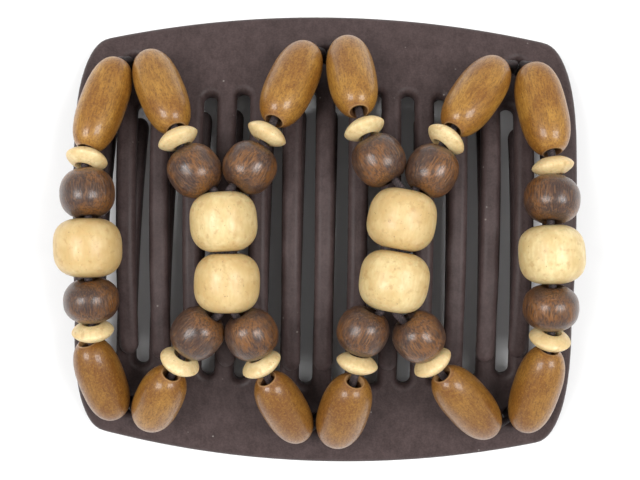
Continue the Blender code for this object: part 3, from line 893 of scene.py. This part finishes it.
cord_line = add_step(cord_tree, "GeometryNodeMeshToCurve", {"Mesh": given["Route"]})
cord_turns = add_step(
    cord_tree,
    "GeometryNodeFilletCurve",
    {"Curve": cord_line.outputs[0], "Radius": given["Corner"], "Limit Radius": True, "Count": TURN_STEPS},
    mode="POLY",
)
cord_rings = add_step(
    cord_tree,
    "GeometryNodeResampleCurve",
    {"Curve": cord_turns.outputs[0], "Length": given["Ring spacing"]},
    mode="LENGTH",
)
way_along = cord_tree.nodes.new("GeometryNodeSplineParameter").outputs["Length"]
marked_line = stored(cord_tree, cord_rings.outputs[0], "cord_along", way_along)
ring = add_step(
    cord_tree,
    "GeometryNodeCurvePrimitiveCircle",
    {"Resolution": CORD_SIDES, "Radius": given["Radius"]},
)
ring_share = cord_tree.nodes.new("GeometryNodeSplineParameter").outputs["Factor"]
marked_ring = stored(cord_tree, ring.outputs[0], "cord_around", ring_share)
sleeve = add_step(
    cord_tree,
    "GeometryNodeCurveToMesh",
    {"Curve": marked_line, "Profile Curve": marked_ring, "Fill Caps": True},
)
pitches_along = cord_maths("DIVIDE", cord_value("cord_along"), given["Braid pitch"])
pitch_turn = cord_maths("MULTIPLY", pitches_along, CROSSINGS_PER_PITCH * math.pi)
half_turns = cord_maths("MULTIPLY", given["Threads"], math.pi)
thread_turn = cord_maths("MULTIPLY", cord_value("cord_around"), half_turns)
leaning_right = cord_maths("ABSOLUTE", cord_maths("SINE", cord_maths("ADD", thread_turn, pitch_turn)))
leaning_left = cord_maths("ABSOLUTE", cord_maths("SINE", cord_maths("SUBTRACT", thread_turn, pitch_turn)))
braid = cord_maths("MAXIMUM", leaning_right, leaning_left)
raised_threads = cord_maths("MULTIPLY", cord_maths("SUBTRACT", braid, BRAID_MIDDLE), given["Relief"])
outwards = cord_tree.nodes.new("GeometryNodeInputNormal").outputs[0]
marked_sleeve = stored(cord_tree, sleeve.outputs[0], "cord_braid", braid)
braided = add_step(
    cord_tree,
    "GeometryNodeSetPosition",
    {"Geometry": marked_sleeve, "Offset": scaled(cord_tree, outwards, raised_threads)},
)
cord_smooth = add_step(
    cord_tree,
    "GeometryNodeSetShadeSmooth",
    {"Geometry": braided.outputs[0], "Shade Smooth": True},
)
cord_real = add_step(cord_tree, "GeometryNodeRealizeInstances", {"Geometry": cord_smooth.outputs[0]})
cord_finished = add_step(
    cord_tree,
    "GeometryNodeSetMaterial",
    {"Geometry": cord_real.outputs[0], "Material": given["Finish"]},
)
cord_tree.links.new(cord_finished.outputs[0], taken["Cord"])

thread, thread_tree = new_material("braided_elastic")
thread_place = add_step(thread_tree, "ShaderNodeTexCoord").outputs["Object"]
thread_wear = mottled(thread_tree, thread_place, 0.8, 0.35, 0.7)
thread_fuzz = mottled(thread_tree, thread_place, 7.0, 0.45, 0.7)
thread_crest = add_step(
    thread_tree,
    "ShaderNodeMapRange",
    {"Value": attribute(thread_tree, "cord_braid"), "From Min": 0.72, "From Max": 0.98},
).outputs[0]
thread_layers = (
    (thread_wear, 0.4, (0.040, 0.026, 0.028)),
    (thread_fuzz, 0.25, (0.075, 0.050, 0.047)),
)
# The braid's valleys are almost black: painted shade between the threads; the crests keep the thread's
# own colour.
thread_colour = blended(thread_tree, thread_crest, (0.005, 0.003, 0.003), (0.060, 0.039, 0.041))
thread_height = maths(thread_tree, "MULTIPLY_ADD", thread_fuzz, 0.3, thread_crest)
finish_material(
    thread_tree,
    {
        "Base Color": tinted(thread_tree, thread_colour, thread_layers),
        "Roughness": maths(thread_tree, "MULTIPLY_ADD", thread_fuzz, 0.15, 0.72),
        "Sheen Weight": 0.08,
        "Sheen Roughness": 0.4,
        "Normal": bumped(thread_tree, thread_height, 0.5, 0.05 * MM),
    },
)


def hole_point(hole, lower, height):
    """A point on a spine hole's line, at a height over the comb's top face."""
    x, y = HOLE_PLACES[2 - hole if lower else hole]
    return comb_turn(lower) @ bend(Vector((x, y, COMB_THICKNESS / 2 + height))) + arch_axis(lower)


def strand_half(string, lower):
    """One strand's corners from the knot under a spine to the middle of its dark bead."""
    half = f"{string + 1}_{'lower' if lower else 'upper'}"
    oval, disc, dark_bead = (BeadFrame(f"{kind}_{half}") for kind in ("oval", "disc", "dark"))
    inwards = -1 if lower else 1
    oval_mouths = [oval.middle + oval.axis * oval.length / 2 * inwards * end for end in (-1, 1)]
    disc_faces = [disc.middle + disc.axis * disc.length / 2 * inwards * end for end in (-1, 1)]
    hole = string // 2
    beside = Vector((STRAND_OFFSET * (1 if string % 2 else -1), 0.0, 0.0))
    crest = hole_point(hole, lower, HOOK_REACH) + beside
    mouth = oval_mouths[0] - oval.axis * inwards * MOUTH_REACH
    tucked = Vector((0.0, TUCK if lower else -TUCK, 0.0))
    return [
        hole_point(hole, lower, -COMB_THICKNESS - KNOT_DROP) + beside / 2,
        hole_point(hole, lower, -COMB_THICKNESS) + beside,
        crest,
        (crest + mouth) / 2 + tucked,
        mouth,
        (oval_mouths[1] + disc_faces[0]) / 2,
        disc_faces[1] + disc.axis * inwards * MOUTH_CLEARANCE,
        dark_bead.middle - dark_bead.axis * inwards * (dark_bead.length / 2 + MOUTH_CLEARANCE),
        dark_bead.middle,
    ]


def cream_end(cream, end, side, offset):
    """A point just outside a cream bead's bore, at its upper end for 1 and its lower for -1."""
    across = Vector((-cream.axis.y, cream.axis.x, 0.0))
    reach = cream.length / 2 + MOUTH_CLEARANCE
    return cream.middle - cream.axis * reach * end + across * offset * side


def cream_corners(names, side):
    """One strand's corners through its cream beads, which it shares with a neighbour or has alone."""
    creams = [BeadFrame(f"cream_{name}") for name in names]
    corners = [cream_end(creams[0], 1, side, STRAND_SPREAD)]
    for upper, lower in zip(creams, creams[1:]):
        between = cream_end(upper, -1, side, STRAND_OFFSET) + cream_end(lower, 1, side, STRAND_OFFSET)
        corners.append(between / 2)
    return corners + [cream_end(creams[-1], -1, side, STRAND_SPREAD)]


def knot_lines(hole, lower):
    """A pulled-tight trefoil knot across the hole's line, and the two tails beside it."""
    middle = hole_point(hole, lower, -COMB_THICKNESS - KNOT_DROP)
    outward = (hole_point(hole, lower, 0.0) - middle).normalized()
    across = Vector((1.0, 0.0, 0.0)).cross(outward).normalized()
    sideways = outward.cross(across)
    ring = []
    for step in range(KNOT_STEPS):
        turn = 2 * math.pi * step / KNOT_STEPS
        x = math.sin(turn) + 2 * math.sin(2 * turn)
        y = math.cos(turn) - 2 * math.cos(2 * turn)
        z = -math.sin(3 * turn)
        ring.append(middle + (sideways * x + across * y + outward * z) * KNOT_SIZE)
    tails = []
    for side in (-1, 1):
        start = middle + sideways * side * KNOT_SIZE * 2
        elbow = start + sideways * side * TAIL_RUN
        tails.append([start, elbow, start + sideways * side * TAIL_REACH + across * TAIL_BEND])
    return ring + [ring[0]], tails


for loop, loop_name in enumerate(("left", "middle", "right")):
    lines = []
    for string in (2 * loop, 2 * loop + 1):
        creams_here = cream_corners(*STRING_CREAMS[string])
        lines.append(strand_half(string, False) + creams_here + strand_half(string, True)[::-1])
    for lower in (False, True):
        ring_line, tails = knot_lines(loop, lower)
        lines += [ring_line, *tails]
    points, edges = [], []
    for line in lines:
        edges += [(len(points) + step, len(points) + step + 1) for step in range(len(line) - 1)]
        points += line
    route_mesh = bpy.data.meshes.new("cord_route")
    route_mesh.from_pydata(points, edges, [])
    cord = add_object("cord_route", route_mesh)
    braiding = cord.modifiers.new("braided", "NODES")
    braiding.node_group = cord_tree
    modifier_input(braiding, "Radius", CORD_RADIUS)
    modifier_input(braiding, "Finish", thread)
    cord_mesh = mesh_of(cord)
    cord_mesh.name = f"braided_elastic_{loop_name}"
    cord = add_object(f"braided_elastic_{loop_name}", cord_mesh)
    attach(cord, "root")
    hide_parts(f"elastic_{loop_name}")

bpy.context.view_layer.update()
